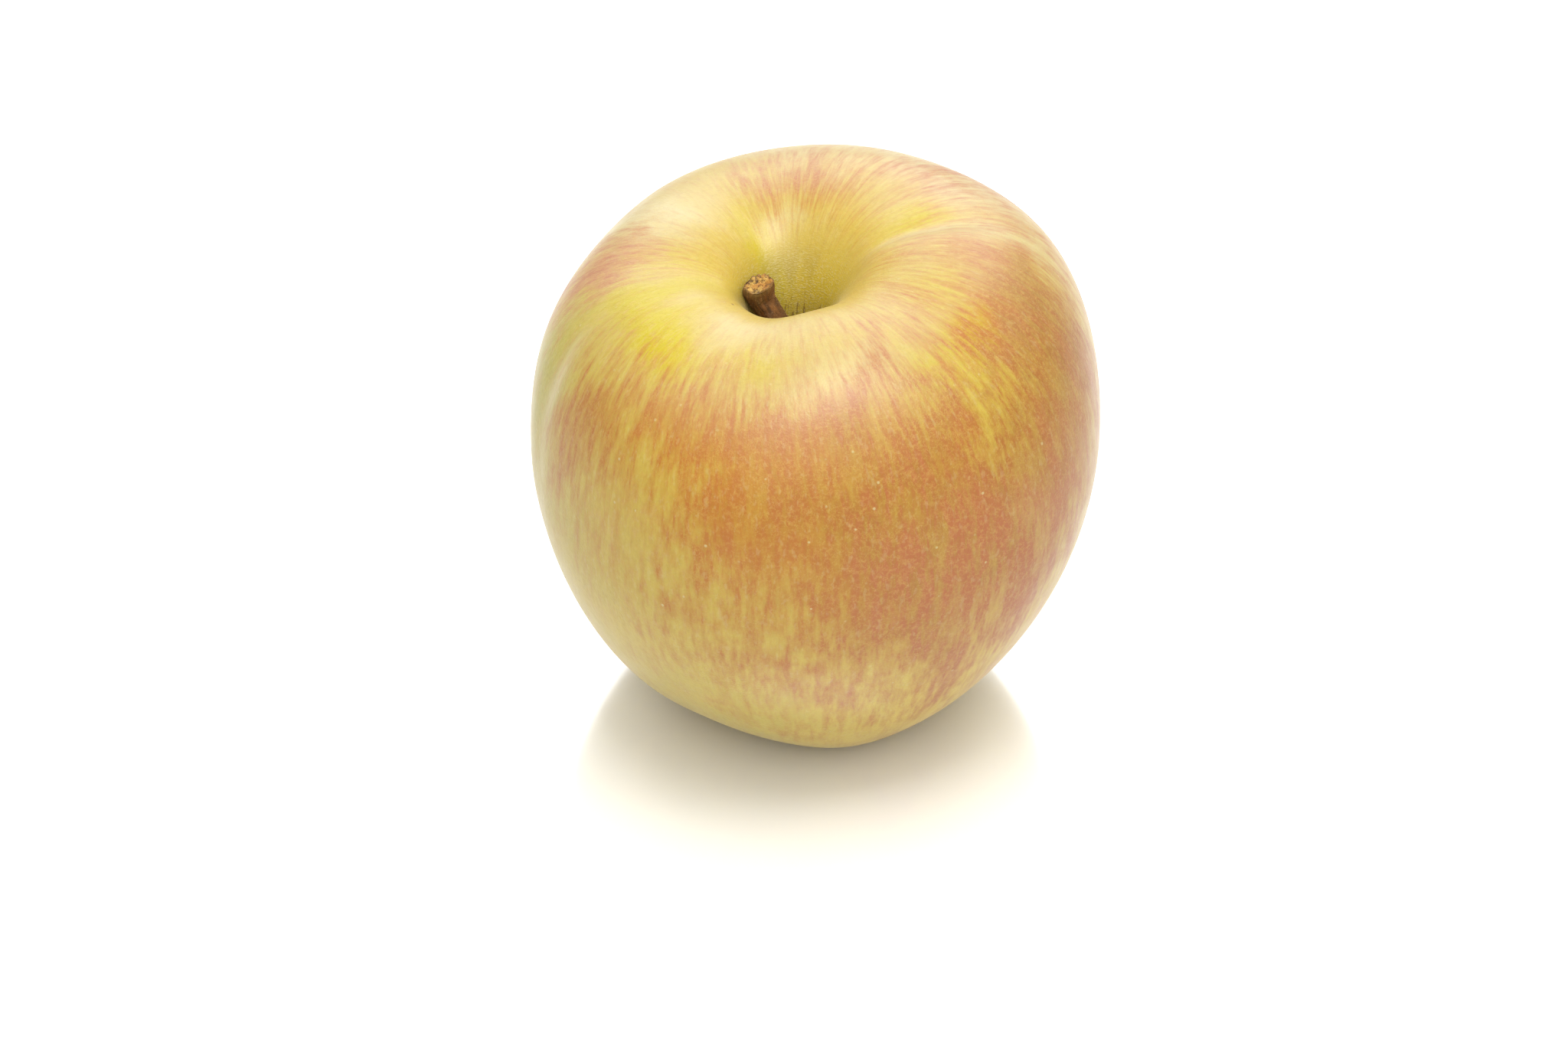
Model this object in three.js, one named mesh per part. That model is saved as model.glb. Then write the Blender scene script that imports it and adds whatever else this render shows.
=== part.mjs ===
// An apple standing upright on its calyx end, in millimetres.
// +Z runs up through the stem cavity, -Y is the front, and the origin is under the middle, at the base.
import * as THREE from 'three';
import { mergeVertices } from 'three/addons/utils/BufferGeometryUtils.js';

// Fruit: the half outline of the apple, ring by ring from the stem cavity down to the calyx.
const equatorRadius = 40;
const equatorHeight = 40.9;
const crestRadius = 19;
const crestHeight = 68.9;
const throatHeight = 49;
const throatRounding = 0.8;
const footRingRadius = 14.4;
const basinDepth = 8;

// How full each arc of the outline is at its two ends, as a share of the arc's own width or height.
const cavityFullness = { level: 0.7, upright: 0.62 };
const shoulderFullness = { level: 0.49, upright: 0.74 };
const flankFullness = { level: 0.435, upright: 0.435 };
const basinFullness = { level: 0.5, upright: 0.3 };

// The five swells that an apple's five seed chambers raise, on the shoulder and under the base.
const lobeCount = 5;
const lobeTurn = THREE.MathUtils.degToRad(-3.5);
const shoulderSwell = { rise: 0.55, ring: 1.1, reach: 0.6 };
const shoulderPinch = { share: 0.019, ring: 1.5, reach: 0.7 };
const footSwell = { rise: 0.8, ring: 3, reach: 0.75 };
const footFlat = 0.5;

// How this fruit grew unevenly: deeper than broad, taller on one side, with its cavity off centre.
const ovalShare = 0.038;
const threeSidedShare = 0.011;
const threeSidedTurn = THREE.MathUtils.degToRad(-10);
const tallSideRise = 4.8;
const tallSideTurn = THREE.MathUtils.degToRad(8);
const cavityOffset = new THREE.Vector2(-3.45, -0.3);
const firmMargin = 8;

// Shallow folds of the skin: where each one runs, and how deep it is pressed in. The last one bulges.
const folds = [
  { azimuth: 195, halfAngle: 5, ring: 1.6, reach: 0.35, depth: 0.5 },
  { azimuth: 14, halfAngle: 8, ring: 1.0, reach: 0.4, depth: 0.9 },
  { azimuth: 118, halfAngle: 9, ring: 0.8, reach: 0.35, depth: 0.6 },
  { azimuth: 232, halfAngle: 16, ring: 2.65, reach: 0.4, depth: 0.9 },
  { azimuth: 310, halfAngle: 14, ring: 2.5, reach: 0.4, depth: -0.4 },
];

// Stem: a short woody stalk in a socket at the bottom of the cavity, which leaves throatGap free around it.
const stemFootRadius = 2.0;
const throatGap = 1.8;
const throatRadius = stemFootRadius + throatGap;
const stemShaftRadius = 1.75;
const stemTipRadius = 2.1;
const stemLength = 16.5;
const stemSocketDepth = 1.5;
// How far the tip hangs past the edge of the throat, so the lean follows the room round the foot.
const stemTipPastThroat = 0.3;
const stemLean = new THREE.Vector2(-(throatRadius + stemTipPastThroat), 1.2);
const stemKink = 0.15;
const stemUprightShare = 0.8;
const stemKinkShare = 0.27;
const stemFootTaper = { from: 0.1, to: 0.4 };
const stemTipFlare = { from: 0.65, to: 0.95 };

// Calyx: a small pit in the basin that holds five dried sepals around a tuft of stamens.
const calyxRadius = 4;
const calyxDepth = 3;
const sepalCount = 5;
const sepalLength = 7.6;
const sepalWidth = 2.8;
const sepalThickness = 0.6;
const sepalFlare = 2.4;
const sepalFlareStart = 0.5;
const sepalFlareEnd = 0.88;
const sepalTipShare = 0.15;
const tuftRadius = 1.2;
const tuftLength = 4.2;
const tuftWaistShare = 0.7;
const tuftRibs = { count: 10, depth: 0.16 };

// The gap kept between neighbouring pieces, and the mesh fineness.
const clearance = 0.3;
const fruitSegments = 60;
const ringsPerArc = 9;
const stemSegments = 14;
const stemRows = 12;
const sepalSegments = 10;
const sepalRows = 8;
const tuftRows = 6;

// Rings are numbered along the outline: 0 at the throat, 1 crest, 2 equator, 3 foot ring, 4 calyx.
const throatRing = 0;
const crestRing = 1;
const equatorRing = 2;
const footRing = 3;
const calyxRing = 4;

const socketRadius = stemFootRadius + clearance;
const cavityFloor = throatHeight - throatRounding;
const socketFloor = cavityFloor - stemSocketDepth;
const pitFloor = basinDepth + calyxDepth;

// The skin stays round beside the stem and the calyx, and is fully uneven from firmMargin further out.
const firmRadius = Math.max(throatRadius, calyxRadius);
const unevenRadius = firmRadius + firmMargin;

// A curve from a point where the outline runs level to a point where it runs upright.
function quarterArc(level, upright, fullness) {
  const levelHandle = new THREE.Vector2(level.x + (upright.x - level.x) * fullness.level, level.y);
  const uprightHandle = new THREE.Vector2(upright.x, upright.y + (level.y - upright.y) * fullness.upright);
  return new THREE.CubicBezierCurve(level, levelHandle, uprightHandle, upright);
}

// The outline as points with their ring numbers, from the calyx pit's floor up to the stem socket's floor.
function fruitOutline() {
  const throat = new THREE.Vector2(throatRadius, throatHeight);
  const crest = new THREE.Vector2(crestRadius, crestHeight);
  const equator = new THREE.Vector2(equatorRadius, equatorHeight);
  const foot = new THREE.Vector2(footRingRadius, 0);
  const calyx = new THREE.Vector2(calyxRadius, basinDepth);
  const arcs = [
    { curve: quarterArc(crest, throat, cavityFullness), from: throatRing, reversed: true },
    { curve: quarterArc(crest, equator, shoulderFullness), from: crestRing, reversed: false },
    { curve: quarterArc(foot, equator, flankFullness), from: equatorRing, reversed: true },
    { curve: quarterArc(foot, calyx, basinFullness), from: footRing, reversed: false },
  ];
  const outline = [
    { point: new THREE.Vector2(0, socketFloor), ring: throatRing },
    { point: new THREE.Vector2(socketRadius, socketFloor), ring: throatRing },
    { point: new THREE.Vector2(socketRadius, cavityFloor), ring: throatRing },
  ];
  for (const { curve, from, reversed } of arcs) {
    for (let step = 0; step < ringsPerArc; step += 1) {
      const along = step / ringsPerArc;
      outline.push({ point: curve.getPoint(reversed ? 1 - along : along), ring: from + along });
    }
  }
  outline.push({ point: calyx, ring: calyxRing });
  outline.push({ point: new THREE.Vector2(calyxRadius, pitFloor), ring: calyxRing });
  outline.push({ point: new THREE.Vector2(0, pitFloor), ring: calyxRing });
  return outline.reverse();
}

function bell(value, centre, reach) {
  return Math.exp(-(((value - centre) / reach) ** 2));
}

// Signed angle from one azimuth to another, between -180 and 180 degrees.
function turnBetween(azimuth, degrees) {
  const turn = THREE.MathUtils.radToDeg(azimuth) - degrees;
  return THREE.MathUtils.euclideanModulo(turn + 180, 360) - 180;
}

// Where a point of the round outline ends up on the uneven fruit.
function growUnevenly(radius, height, ring, azimuth) {
  const free = THREE.MathUtils.smoothstep(radius, firmRadius, unevenRadius);
  const lobe = Math.cos(lobeCount * (azimuth - lobeTurn));
  let pressed = 0;
  for (const fold of folds) {
    const across = bell(turnBetween(azimuth, fold.azimuth), 0, fold.halfAngle);
    pressed += fold.depth * across * bell(ring, fold.ring, fold.reach);
  }
  const widen = -ovalShare * Math.cos(2 * azimuth)
    + threeSidedShare * Math.cos(3 * (azimuth - threeSidedTurn))
    - shoulderPinch.share * lobe * bell(ring, shoulderPinch.ring, shoulderPinch.reach);
  const lift = shoulderSwell.rise * lobe * bell(ring, shoulderSwell.ring, shoulderSwell.reach)
    + footSwell.rise * (1 - lobe) * bell(ring, footSwell.ring, footSwell.reach)
    + tallSideRise * (radius / equatorRadius) * (height / crestHeight) * Math.cos(azimuth - tallSideTurn);
  const outward = pressed * THREE.MathUtils.smoothstep(ring, crestRing, equatorRing);
  const spread = radius * (1 + free * widen) - free * outward;
  const raised = height + free * (lift - pressed + outward);
  const sway = 1 - THREE.MathUtils.smoothstep(ring, crestRing, equatorRing);
  return new THREE.Vector3(
    spread * Math.cos(azimuth) + cavityOffset.x * sway,
    spread * Math.sin(azimuth) + cavityOffset.y * sway,
    raised,
  );
}

// Turns a profile about the vertical axis, moves every vertex, and joins the seam into one closed body.
function turnedBody(points, segments, place) {
  const geometry = new THREE.LatheGeometry(points, segments);
  const position = geometry.getAttribute('position');
  const uv = geometry.getAttribute('uv');
  for (let vertex = 0; vertex < position.count; vertex += 1) {
    const row = Math.round(uv.getY(vertex) * (points.length - 1));
    const azimuth = uv.getX(vertex) * 2 * Math.PI - Math.PI / 2;
    const moved = place(row, azimuth);
    position.setXYZ(vertex, moved.x, moved.y, moved.z);
  }
  geometry.deleteAttribute('normal');
  geometry.deleteAttribute('uv');
  const body = mergeVertices(geometry, 1e-4);
  body.computeVertexNormals();
  return body;
}

// The base is cut level by footFlat, so that the lobes under it have small flats to rest on.
function fruitGeometry() {
  const outline = fruitOutline();
  const points = outline.map(({ point }) => point);
  return turnedBody(points, fruitSegments, (row, azimuth) => {
    const { point, ring } = outline[row];
    const grown = growUnevenly(point.x, point.y, ring, azimuth);
    grown.z = Math.max(grown.z, footFlat);
    return grown;
  });
}

// Places a turned body's vertex beside a curved spine, flattened by the given share across the bend.
function besideSpine(spine, along, radius, azimuth, flatness = 1) {
  const centre = spine.getPoint(along);
  const tangent = spine.getTangent(along);
  const side = new THREE.Vector3().crossVectors(new THREE.Vector3(0, 1, 0), tangent).normalize();
  const front = new THREE.Vector3().crossVectors(tangent, side);
  return centre
    .addScaledVector(side, radius * flatness * Math.cos(azimuth))
    .addScaledVector(front, radius * Math.sin(azimuth));
}

// The stem rises straight from its socket, leans over and straightens again towards its broken end.
function stemGeometry() {
  const foot = new THREE.Vector3(cavityOffset.x, cavityOffset.y, socketFloor + clearance);
  const tip = foot.clone().add(new THREE.Vector3(stemLean.x, stemLean.y, stemLength));
  const spine = new THREE.CubicBezierCurve3(
    foot,
    new THREE.Vector3(foot.x, foot.y, foot.z + stemLength * stemUprightShare),
    new THREE.Vector3(tip.x - stemKink, tip.y, tip.z - stemLength * stemKinkShare),
    tip,
  );
  const points = [new THREE.Vector2(0, 0)];
  for (let row = 0; row <= stemRows; row += 1) {
    const along = row / stemRows;
    const footShare = 1 - THREE.MathUtils.smoothstep(along, stemFootTaper.from, stemFootTaper.to);
    const tipShare = THREE.MathUtils.smoothstep(along, stemTipFlare.from, stemTipFlare.to);
    const radius = stemShaftRadius
      + (stemFootRadius - stemShaftRadius) * footShare
      + (stemTipRadius - stemShaftRadius) * tipShare;
    points.push(new THREE.Vector2(radius, along));
  }
  points.push(new THREE.Vector2(0, 1));
  return turnedBody(points, stemSegments, (row, azimuth) => {
    return besideSpine(spine, points[row].y, points[row].x, azimuth);
  });
}

// A sepal is a thin pointed blade that hangs out of the pit and curls outward at its tip.
function sepalGeometry() {
  const ringRadius = calyxRadius - clearance - sepalThickness;
  const top = pitFloor - clearance;
  const spine = new THREE.CubicBezierCurve3(
    new THREE.Vector3(ringRadius, 0, top),
    new THREE.Vector3(ringRadius, 0, top - sepalLength * sepalFlareStart),
    new THREE.Vector3(ringRadius, 0, top - sepalLength * sepalFlareEnd),
    new THREE.Vector3(ringRadius + sepalFlare, 0, top - sepalLength * sepalFlareEnd),
  );
  const points = [new THREE.Vector2(0, 0)];
  for (let row = 0; row <= sepalRows; row += 1) {
    const along = row / sepalRows;
    const halfWidth = (sepalWidth / 2) * (1 - (1 - sepalTipShare) * along ** 1.5);
    points.push(new THREE.Vector2(halfWidth, along));
  }
  points.push(new THREE.Vector2(0, 1));
  return turnedBody(points, sepalSegments, (row, azimuth) => {
    return besideSpine(spine, points[row].y, points[row].x, azimuth, sepalThickness / sepalWidth);
  });
}

// The dried stamens stand packed together as one ribbed tuft that spreads towards its tips.
function tuftGeometry() {
  const top = pitFloor - clearance;
  const points = [new THREE.Vector2(0, top - tuftLength)];
  for (let row = 0; row <= tuftRows; row += 1) {
    const along = row / tuftRows;
    const share = THREE.MathUtils.lerp(1, tuftWaistShare, along);
    points.push(new THREE.Vector2(tuftRadius * share, top - tuftLength * (1 - along)));
  }
  points.push(new THREE.Vector2(0, top));
  return turnedBody(points, 2 * tuftRibs.count, (row, azimuth) => {
    const groove = tuftRibs.depth * (1 - Math.cos(tuftRibs.count * azimuth)) / 2;
    const reach = points[row].x * (1 - groove);
    return new THREE.Vector3(reach * Math.cos(azimuth), reach * Math.sin(azimuth), points[row].y);
  });
}

function piece(name, geometry, color, roughness) {
  const material = new THREE.MeshStandardMaterial({ color, roughness, metalness: 0 });
  const mesh = new THREE.Mesh(geometry, material);
  mesh.name = name;
  return mesh;
}

const group = new THREE.Group();
group.add(piece('fruit', fruitGeometry(), 0xd9b45c, 0.4));
group.add(piece('stem', stemGeometry(), 0x5c3a20, 0.8));
for (let index = 0; index < sepalCount; index += 1) {
  const sepal = piece(`sepal_${index + 1}`, sepalGeometry(), 0x4a3a26, 0.9);
  sepal.rotation.z = (index / sepalCount) * 2 * Math.PI;
  group.add(sepal);
}
group.add(piece('stamen_tuft', tuftGeometry(), 0x3a2c1e, 0.9));

// The origin goes under the middle of the whole fruit, level with the flats it rests on.
const box = new THREE.Box3().setFromObject(group);
const middle = box.getCenter(new THREE.Vector3());
group.position.set(-middle.x, -middle.y, -box.min.z);
group.updateMatrixWorld(true);

export default group;
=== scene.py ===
"""A ripe apple grown round its packed frame: skin, stem, dried calyx and a plain studio stage.

Lengths are metres. Azimuth 0 degrees is +X, and 90 degrees is +Y, away from the front.
Rings number the outline of the fruit: 0 at the throat of the stem cavity, 1 on the crest of the
shoulder, 2 at the equator, 3 on the foot ring and 4 at the calyx.
"""

import math
from collections import namedtuple

import bpy
import numpy as np
from bpy.props import FloatProperty, FloatVectorProperty, IntProperty, PointerProperty
from mathutils import Matrix, Vector, noise


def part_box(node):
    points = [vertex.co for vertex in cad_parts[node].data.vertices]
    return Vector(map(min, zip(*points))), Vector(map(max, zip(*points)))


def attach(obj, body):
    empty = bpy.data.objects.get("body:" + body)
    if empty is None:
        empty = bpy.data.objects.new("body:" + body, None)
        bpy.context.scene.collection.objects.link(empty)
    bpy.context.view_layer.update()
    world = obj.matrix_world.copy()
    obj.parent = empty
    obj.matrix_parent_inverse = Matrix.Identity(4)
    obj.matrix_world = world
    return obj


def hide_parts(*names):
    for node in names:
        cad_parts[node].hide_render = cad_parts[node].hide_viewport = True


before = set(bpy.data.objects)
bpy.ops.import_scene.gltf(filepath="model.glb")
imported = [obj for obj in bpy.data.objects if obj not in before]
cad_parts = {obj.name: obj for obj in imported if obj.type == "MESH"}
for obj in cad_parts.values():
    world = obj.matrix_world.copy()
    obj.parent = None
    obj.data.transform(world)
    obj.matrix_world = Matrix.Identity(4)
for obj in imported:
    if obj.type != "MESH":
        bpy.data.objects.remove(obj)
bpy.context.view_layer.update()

bl_info = {
    "name": "Apple",
    "version": (1, 0, 0),
    "blender": (4, 5, 0),
    "location": "3D View > Sidebar > Apple",
    "description": "Grows an apple round its packed frame and lights it",
    "category": "Object",
}

MM = 0.001
PER_CENTIMETRE = 100

# The rings of the outline, and the end of the pit beyond the last of them.
CAVITY_FLOOR, THROAT, CREST, EQUATOR, FOOT_RING, CALYX, PIT = range(-1, 6)
LOBES = 5
PLEATS = 10
SEPALS = 5

# Where the fruit's own axis stands in the frame: over the tuft of stamens.
TUFT_LOW, TUFT_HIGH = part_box("stamen_tuft")
AXIS = (TUFT_LOW + TUFT_HIGH) / 2

# How full a quarter of the outline is: the shares of its run that its two handles take.
Fullness = namedtuple("Fullness", "level upright")
CAVITY_FULLNESS = Fullness(0.7, 0.62)
SHOULDER_FULLNESS = Fullness(0.49, 0.74)
FLANK_FULLNESS = Fullness(0.435, 0.435)
BASIN_FULLNESS = Fullness(0.5, 0.3)
ROUNDED_FULLNESS = Fullness(0.6, 0.6)

# A fold of the skin: azimuth and half angle in degrees, ring and reach in rings, depth in metres.
Fold = namedtuple("Fold", "azimuth half_angle ring reach depth")
FOLDS = (
    Fold(195, 5, 1.6, 0.35, 0.5 * MM),
    Fold(14, 8, 1.0, 0.4, 0.9 * MM),
    Fold(118, 9, 0.8, 0.35, 0.6 * MM),
    Fold(232, 16, 2.65, 0.4, 0.9 * MM),
    Fold(310, 14, 2.5, 0.4, -0.4 * MM),
)

# A patch of colour on the skin, soft at its edges and added to the others of its colour.
# Its azimuth and half angle are in degrees, its ring and reach in rings.
Patch = namedtuple("Patch", "azimuth ring half_angle reach strength")
BLUSH_PATCHES = (
    Patch(214, 1.62, 12, 0.28, 0.85),
    Patch(236, 1.42, 16, 0.26, 0.65),
    Patch(254, 1.7, 17, 0.34, 0.55),
    Patch(280, 1.65, 26, 0.4, 0.85),
    Patch(298, 1.9, 24, 0.4, 0.7),
    Patch(275, 2.2, 30, 0.35, 0.35),
    Patch(310, 2.35, 18, 0.3, 0.35),
    Patch(335, 1.65, 24, 0.38, 0.9),
    Patch(335, 1.95, 16, 0.2, 0.5),
    Patch(330, 1.3, 15, 0.2, 0.25),
    Patch(270, 1.5, 16, 0.16, 0.45),
    Patch(350, 1.35, 18, 0.3, 0.5),
    Patch(306, 1.12, 22, 0.25, 0.4),
    Patch(342, 1.0, 18, 0.3, 0.25),
    Patch(358, 1.15, 12, 0.25, 0.35),
    Patch(35, 1.15, 20, 0.28, 0.4),
    Patch(62, 0.98, 14, 0.2, 0.4),
    Patch(86, 0.96, 15, 0.2, 0.75),
    Patch(105, 1.0, 9, 0.2, 0.45),
    Patch(164, 1.08, 12, 0.26, 0.62),
    Patch(172, 1.33, 12, 0.26, 0.65),
    Patch(55, 1.75, 38, 0.5, 0.7),
    Patch(118, 1.9, 26, 0.4, 0.5),
    Patch(160, 1.85, 16, 0.35, 0.35),
)
RED_PATCHES = (
    Patch(302, 1.97, 14, 0.2, 0.8),
    Patch(288, 1.8, 14, 0.3, 0.35),
    Patch(310, 2.2, 12, 0.22, 0.5),
    Patch(280, 2.25, 16, 0.25, 0.3),
    Patch(165, 1.15, 14, 0.25, 0.5),
    Patch(60, 1.8, 30, 0.4, 0.7),
)
ROSE_PATCHES = (
    Patch(320, 2.1, 22, 0.4, 0.8),
    Patch(169, 1.2, 14, 0.35, 0.8),
    Patch(30, 1.2, 30, 0.3, 0.6),
    Patch(300, 1.1, 16, 0.2, 0.4),
    Patch(100, 1.15, 24, 0.2, 0.5),
)
BROWN_PATCHES = (
    Patch(292, 1.8, 24, 0.4, 0.8),
    Patch(100, 0.52, 45, 0.2, 0.7),
    Patch(338, 1.6, 20, 0.32, 0.9),
    Patch(347, 1.5, 9, 0.2, 0.35),
    Patch(318, 1.55, 10, 0.2, 0.35),
    Patch(214, 1.6, 9, 0.16, 0.25),
    Patch(184, 0.42, 34, 0.16, 0.75),
)
YELLOW_PATCHES = (
    Patch(200, 1.1, 20, 0.22, 1.0),
    Patch(192, 0.82, 22, 0.2, 0.6),
    Patch(228, 1.15, 14, 0.14, 0.9),
    Patch(256, 1.08, 10, 0.1, 0.5),
    Patch(325, 1.3, 10, 0.12, 1.0),
    Patch(332, 1.05, 10, 0.12, 0.4),
    Patch(311, 1.38, 10, 0.14, 0.5),
    Patch(20, 1.0, 9, 0.17, 1.0),
    Patch(117, 0.62, 13, 0.2, 0.9),
    Patch(105, 0.38, 22, 0.16, 0.6),
)
GREEN_PATCHES = (
    Patch(188, 1.6, 13, 0.35, 1.0),
    Patch(250, 2.55, 30, 0.25, 0.6),
    Patch(320, 1.35, 16, 0.16, 0.5),
    Patch(180, 2.3, 40, 0.5, 0.6),
)
# Pale skin and painted light. Painted highlights lie along the folds at 10 and 196 degrees, on the
# far wall of the cavity at 96, on the near lip at 250 and on the front shoulder at 283. Painted
# reflections of the white room lie on the rims at 30, 60 and 153 degrees. The patch at 141 degrees
# is pale skin.
PALE_AND_HIGHLIGHT_PATCHES = (
    Patch(60, 1.32, 42, 0.28, 0.75),
    Patch(30, 1.4, 28, 0.2, 0.4),
    Patch(153, 1.3, 9, 0.25, 0.75),
    Patch(141, 1.1, 12, 0.25, 0.8),
    Patch(10, 1.0, 5, 0.2, 0.8),
    Patch(250, 0.86, 34, 0.12, 0.6),
    Patch(96, 0.72, 18, 0.08, 0.6),
    Patch(283, 1.22, 16, 0.1, 0.5),
    Patch(196, 1.6, 2.5, 0.18, 0.9),
)
PATCHES = {
    "blush": BLUSH_PATCHES,
    "red": RED_PATCHES,
    "rose": ROSE_PATCHES,
    "brown": BROWN_PATCHES,
    "yellow": YELLOW_PATCHES,
    "green": GREEN_PATCHES,
    "pale": PALE_AND_HIGHLIGHT_PATCHES,
}
PATCH_WOBBLE = 0.55

# Where along the stem its foot narrows and its tip widens, as shares of its run.
FOOT_TAPER = (0.1, 0.4)
TIP_FLARE = (0.65, 0.95)

# A soft panel of light: its width and height, and where it hangs.
LightPanel = namedtuple("LightPanel", "width height place")
OVERHEAD_PANEL = LightPanel(0.4, 0.4, (0.04, -0.12, 0.8))
BACKDROP_PANEL = LightPanel(1.5, 1.2, (0.05, 1.2, 0.85))
FRONT_PANEL = LightPanel(1.2, 1.2, (0.1, -0.7, 0.95))


def length(name, description, default):
    """A size in metres, shown in the units of the scene."""
    return FloatProperty(
        name=name, description=description, default=default, unit="LENGTH", precision=4
    )


def share(name, description, default):
    return FloatProperty(name=name, description=description, default=default, subtype="FACTOR")


def angle(name, description, degrees):
    return FloatProperty(
        name=name, description=description, default=math.radians(degrees), subtype="ANGLE"
    )


def colour(name, description, default):
    return FloatVectorProperty(
        name=name, description=description, default=default, size=3, min=0, max=1, subtype="COLOR"
    )


class FruitSizes(bpy.types.PropertyGroup):
    """The outline of the fruit and how unevenly it grew."""

    equator_radius: length("Equator radius", "Widest half width", 40 * MM)
    equator_height: length("Equator height", "Height of the widest ring", 40.9 * MM)
    crest_radius: length("Crest radius", "Radius of the shoulder's highest ring", 19 * MM)
    crest_height: length("Crest height", "Height of the shoulder", 68.9 * MM)
    throat_radius: length("Throat radius", "Radius at the bottom of the cavity", 3.8 * MM)
    throat_height: length("Throat height", "Height of the bottom of the cavity", 49 * MM)
    throat_rounding: length("Throat rounding", "Depth of the rounded cavity floor", 0.8 * MM)
    foot_ring_radius: length("Foot ring radius", "Radius of the ring it stands on", 14.4 * MM)
    foot_flat: length("Foot flat", "How much the feet are flattened", 0.5 * MM)
    basin_depth: length("Basin depth", "Depth of the basin round the calyx", 8 * MM)
    calyx_radius: length("Calyx radius", "Radius of the pit under the sepals", 3.5 * MM)
    calyx_depth: length("Calyx depth", "Depth of the pit under the sepals", 3 * MM)
    lobe_turn: angle("Lobe turn", "Azimuth of the first of the five lobes", -3.5)
    shoulder_swell: length("Shoulder swell", "Height of the lobes on the shoulder", 0.55 * MM)
    shoulder_pinch: share("Shoulder pinch", "How much the lobes draw the shoulder in", 0.019)
    foot_swell: length("Foot swell", "Height of the lobes under the base", 0.8 * MM)
    oval_share: share("Oval", "How much deeper than broad it is", 0.038)
    three_sided_share: share("Three-sided", "How much it tends to three sides", 0.011)
    three_sided_turn: angle("Three-sided turn", "Azimuth of the first side", -10)
    tall_side_rise: length("Tall side", "Extra height of the taller side", 4.8 * MM)
    tall_side_turn: angle("Tall side turn", "Azimuth of the taller side", 8)
    cavity_offset_x: length("Cavity offset X", "How far the cavity is off centre", -3.45 * MM)
    cavity_offset_y: length("Cavity offset Y", "How far the cavity is off centre", -0.3 * MM)
    pleat_depth: length("Basin pleats", "Depth of the pleats round the calyx", 0.3 * MM)
    firm_margin: length("Firm margin", "Round rim about the throat and the pit", 8 * MM)
    segments: IntProperty(name="Segments", description="Vertices in one ring", default=384)


class SkinColours(bpy.types.PropertyGroup):
    """The colours of the skin, before light falls on it."""

    ground: colour("Ground", "Ripe yellow ground under the blush", (0.4, 0.285, 0.04))
    low: colour("Low ground", "Duller ground low on the fruit", (0.49, 0.355, 0.06))
    yellow: colour("Yellow", "Clear bright yellow", (0.39, 0.315, 0.004))
    green: colour("Green", "Where the skin stayed green", (0.34, 0.29, 0.04))
    # Pale is also the colour of the painted highlights and painted rim reflections.
    pale: colour("Pale", "Pale cream skin", (0.46, 0.38, 0.17))
    straw: colour("Straw", "Light grain in the skin", (0.47, 0.33, 0.065))
    # Bloom is also a painted highlight on the shoulders.
    bloom: colour("Bloom", "Waxy bloom over the shoulders", (0.42, 0.4, 0.35))
    orange: colour("Orange blush", "Blush over the ground", (0.335, 0.127, 0.007))
    red: colour("Red blush", "The deepest blush", (0.32, 0.1, 0.026))
    rose: colour("Rose blush", "Blush with a pink cast", (0.38, 0.155, 0.075))
    brown: colour("Brown blush", "Blush dulled by weather", (0.235, 0.1, 0.009))
    olive: colour("Cavity", "Skin down in the stem cavity", (0.42, 0.3, 0.02))
    russet: colour("Russet", "Corky skin round the stem and calyx", (0.1, 0.04, 0.008))
    # Dusk darkens the cavity floor towards grey-brown round the stem.
    dusk: colour("Dusk", "Grey-brown bloom down by the stem", (0.24, 0.165, 0.03))


class StemSizes(bpy.types.PropertyGroup):
    """The woody stalk in the cavity."""

    foot_radius: length("Foot radius", "Half thickness where it grows out", 2.0 * MM)
    shaft_radius: length("Shaft radius", "Half thickness of the shaft", 1.72 * MM)
    tip_radius: length("Tip radius", "Half thickness at the broken end", 2.05 * MM)
    reach: length("Length", "Height from its foot to its tip", 16.5 * MM)
    lean_x: length("Lean X", "How far the tip leans sideways", -4.1 * MM)
    lean_y: length("Lean Y", "How far the tip leans back", 1.2 * MM)
    upright_share: share("Upright foot", "Part of the stem that rises before it leans", 0.8)
    kink: length("Kink", "How far the tip is bent back sideways", 0.15 * MM)
    kink_share: share("Kink share", "Part of the stem that the bend at its tip takes", 0.27)
    torn_tilt: share("Torn tilt", "How much the broken end slopes down to the left", 0.28)
    bark: colour("Bark", "Brown bark of the shaft", (0.14, 0.05, 0.006))
    wood: colour("Wood", "Torn wood at the broken end", (0.5, 0.3, 0.06))
    hairs: IntProperty(name="Hairs", description="Fine pale hairs on the shaft", default=900)
    hair_radius: length("Hair radius", "Half thickness of a hair at its root", 0.009 * MM)


class CalyxSizes(bpy.types.PropertyGroup):
    """The dried flower under the fruit."""

    sepal_length: length("Sepal length", "Length of one sepal", 7.4 * MM)
    sepal_width: length("Sepal width", "Width of one sepal at its foot", 3.2 * MM)
    sepal_thickness: length("Sepal thickness", "Thickness at the middle", 0.45 * MM)
    sepal_flare: length("Sepal flare", "How far the tips curl outward", 2.6 * MM)
    stamens: IntProperty(name="Stamens", description="Threads in the tuft", default=19)
    dry: colour("Dry leaf", "Dried brown of the sepals", (0.13, 0.085, 0.045))
    thread: colour("Thread", "Dried brown of the stamens", (0.09, 0.045, 0.02))


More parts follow.
